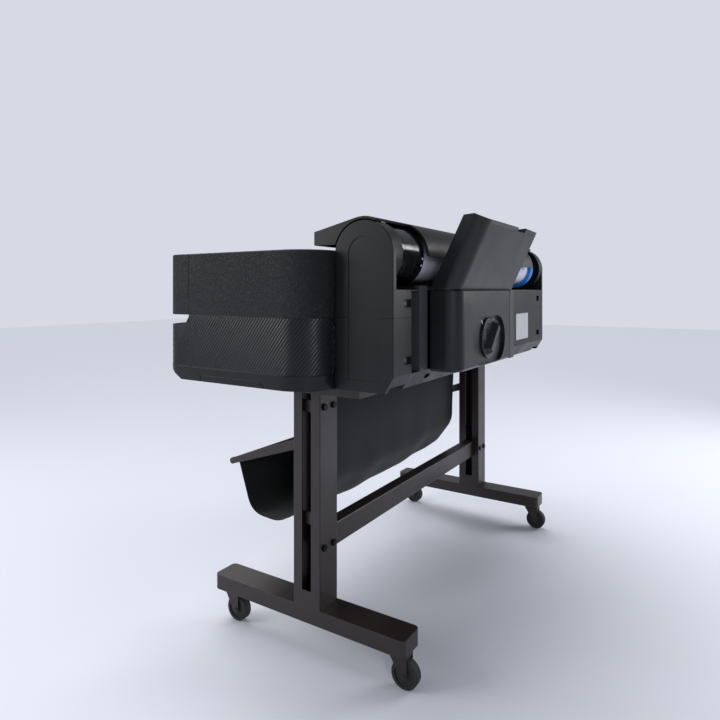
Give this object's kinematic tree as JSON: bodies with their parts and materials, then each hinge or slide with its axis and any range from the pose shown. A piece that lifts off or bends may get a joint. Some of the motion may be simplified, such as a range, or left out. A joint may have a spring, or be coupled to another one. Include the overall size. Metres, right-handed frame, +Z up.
{
  "type": "large-format printer",
  "caption": "Roll-fed wide printer on a castered stand, with a curved cover over the roll, a rear sheet feeder with a tilting support and a hinged front cover.",
  "frame": {"origin": "on the floor under the middle of the whole object's box", "axes": "+X along the roll toward the end with the control panel, -Y toward the user at the output slot, +Z up"},
  "size_m": [1.402, 0.7918, 1.1073],
  "materials": {
    "ribbed_plastic": "ribbed matte",
    "grained_plastic": "leather-grained matte",
    "housing_plastic": "fine-textured matte",
    "light_trim": "satin",
    "knob_plastic": "satin",
    "gloss_plastic": "gloss",
    "blue_plastic": "satin",
    "ink_plastic": "gloss",
    "smoked_window": "smoked",
    "paper_white": "matte",
    "cardboard": "matte",
    "label_white": "bare",
    "sheet_steel": "galvanised",
    "bright_steel": "ground",
    "roller_rubber": "matte",
    "stand_paint": "powder coat",
    "cloth": "woven",
    "wheel_rubber": "matte"
  },
  "bodies": {
    "frame": {"base_pan": "sheet_steel", "basket_frame": "stand_paint", "carriage_motor": "housing_plastic", "carriage_rail": "sheet_steel", "catch_basket": "cloth", "control_panel": "gloss_plastic", "cross_beam": "stand_paint", "drive_belt": "roller_rubber", "electronics_box": "sheet_steel", "end_cap_far": "grained_plastic", "end_cap_near": "grained_plastic", "end_housing_far": "housing_plastic", "end_housing_near": "housing_plastic", "feed_motor": "gloss_plastic", "feeder_box": "housing_plastic", "feeder_end_post": "housing_plastic", "ink_cartridges": "ink_plastic", "ink_holder": "gloss_plastic", "label_plate": "label_white", "lower_shell": "ribbed_plastic", "paper_guide": "sheet_steel", "platen": "sheet_steel", "power_inlet": "housing_plastic", "rear_panel": "housing_plastic", "rear_sill": "housing_plastic", "rear_strip": "light_trim", "rear_wall": "sheet_steel", "screws": "bright_steel", "service_station": "gloss_plastic", "side_frames": "sheet_steel", "stand_feet": "stand_paint", "stand_post_far": "stand_paint", "stand_post_near": "stand_paint", "top_deck": "grained_plastic"},
    "roll_cover_body": {"roll_cover": "housing_plastic"},
    "roll_body": {"spindle": "bright_steel", "hub_near": "gloss_plastic", "roll_core": "cardboard", "roll_paper": "paper_white", "flange_far": "blue_plastic"},
    "front_cover_body": {"front_cover": "grained_plastic", "cover_window": "smoked_window"},
    "ink_cover_body": {"ink_cover": "grained_plastic"},
    "support_body": {"paper_support": "housing_plastic"},
    "extension_body": {"support_extension": "light_trim"},
    "knob_body": {"lock_knob": "knob_plastic"},
    "carriage_body": {"carriage": "gloss_plastic"},
    "motor_pulley_body": {"motor_pulley": "gloss_plastic"},
    "idler_pulley_body": {"idler_pulley": "gloss_plastic"},
    "feed_roller_body": {"feed_roller": "bright_steel"},
    "pinch_rollers_body": {"pinch_rollers": "roller_rubber"},
    "button_body": {"power_button": "gloss_plastic"},
    "fork_1_body": {"caster_fork_1": "stand_paint"},
    "wheel_1_body": {"caster_wheel_1": "wheel_rubber"},
    "fork_2_body": {"caster_fork_2": "stand_paint"},
    "wheel_2_body": {"caster_wheel_2": "wheel_rubber"},
    "fork_3_body": {"caster_fork_3": "stand_paint"},
    "wheel_3_body": {"caster_wheel_3": "wheel_rubber"},
    "fork_4_body": {"caster_fork_4": "stand_paint"},
    "wheel_4_body": {"caster_wheel_4": "wheel_rubber"}
  },
  "joints": [
    {"name": "roll_cover_hinge", "type": "hinge", "parent": "frame", "child": "roll_cover_body", "pos_m": [0, 0.1701, 1.006], "axis": [-1, 0, 0], "range_deg": [0, 55]},
    {"name": "roll_spin", "type": "hinge", "parent": "frame", "child": "roll_body", "pos_m": [0, 0.1701, 1.006], "axis": [1, 0, 0], "continuous": true},
    {"name": "front_cover_hinge", "type": "hinge", "parent": "frame", "child": "front_cover_body", "pos_m": [0, -0.0172, 1.0125], "axis": [-1, 0, 0], "range_deg": [0, 60]},
    {"name": "ink_cover_hinge", "type": "hinge", "parent": "frame", "child": "ink_cover_body", "pos_m": [-0.6285, -0.0629, 1.0125], "axis": [-1, 0, 0], "range_deg": [0, 75]},
    {"name": "support_hinge", "type": "hinge", "parent": "frame", "child": "support_body", "pos_m": [0.2315, 0.3146, 0.9335], "axis": [1, 0, 0], "range_deg": [0, 24.5]},
    {"name": "extension_slide", "type": "slide", "parent": "support_body", "child": "extension_body", "axis": [0, 0.4147, 0.91], "range_m": [0, 0.11]},
    {"name": "knob_turn", "type": "hinge", "parent": "frame", "child": "knob_body", "pos_m": [0.199, 0.3261, 0.792], "axis": [0, 1, 0], "range_deg": [0, 90]},
    {"name": "carriage_slide", "type": "slide", "parent": "frame", "child": "carriage_body", "axis": [1, 0, 0], "range_m": [-0.42, 0.54]},
    {"name": "motor_pulley_spin", "type": "hinge", "parent": "frame", "child": "motor_pulley_body", "pos_m": [-0.519, -0.0989, 0.931], "axis": [0, 1, 0], "continuous": true},
    {"name": "idler_pulley_spin", "type": "hinge", "parent": "frame", "child": "idler_pulley_body", "pos_m": [0.519, -0.0989, 0.931], "axis": [0, 1, 0], "continuous": true},
    {"name": "feed_roller_spin", "type": "hinge", "parent": "frame", "child": "feed_roller_body", "pos_m": [0, -0.1229, 0.838], "axis": [1, 0, 0], "continuous": true},
    {"name": "pinch_rollers_spin", "type": "hinge", "parent": "frame", "child": "pinch_rollers_body", "pos_m": [0, -0.1229, 0.8583], "axis": [1, 0, 0], "continuous": true},
    {"name": "power_button_press", "type": "slide", "parent": "frame", "child": "button_body", "axis": [0, 0, -1], "range_m": [0, 0.0015], "stiffness_N_per_m": 300},
    {"name": "caster_1_swivel", "type": "hinge", "parent": "frame", "child": "fork_1_body", "pos_m": [0.539, -0.3049, 0.088], "axis": [0, 0, 1], "continuous": true},
    {"name": "caster_1_roll", "type": "hinge", "parent": "fork_1_body", "child": "wheel_1_body", "pos_m": [0.539, -0.2849, 0.034], "axis": [1, 0, 0], "continuous": true},
    {"name": "caster_2_swivel", "type": "hinge", "parent": "frame", "child": "fork_2_body", "pos_m": [-0.539, -0.3049, 0.088], "axis": [0, 0, 1], "continuous": true},
    {"name": "caster_2_roll", "type": "hinge", "parent": "fork_2_body", "child": "wheel_2_body", "pos_m": [-0.539, -0.2849, 0.034], "axis": [1, 0, 0], "continuous": true},
    {"name": "caster_3_swivel", "type": "hinge", "parent": "frame", "child": "fork_3_body", "pos_m": [0.539, 0.2231, 0.088], "axis": [0, 0, 1], "continuous": true},
    {"name": "caster_3_roll", "type": "hinge", "parent": "fork_3_body", "child": "wheel_3_body", "pos_m": [0.539, 0.2431, 0.034], "axis": [1, 0, 0], "continuous": true},
    {"name": "caster_4_swivel", "type": "hinge", "parent": "frame", "child": "fork_4_body", "pos_m": [-0.539, 0.2231, 0.088], "axis": [0, 0, 1], "continuous": true},
    {"name": "caster_4_roll", "type": "hinge", "parent": "fork_4_body", "child": "wheel_4_body", "pos_m": [-0.539, 0.2431, 0.034], "axis": [1, 0, 0], "continuous": true}
  ],
  "couplings": [
    {"joint": "motor_pulley_spin", "follows": "carriage_slide", "rad_per_m": -111.11},
    {"joint": "idler_pulley_spin", "follows": "carriage_slide", "rad_per_m": -111.11},
    {"joint": "pinch_rollers_spin", "follows": "feed_roller_spin", "ratio": -1.5}
  ]
}
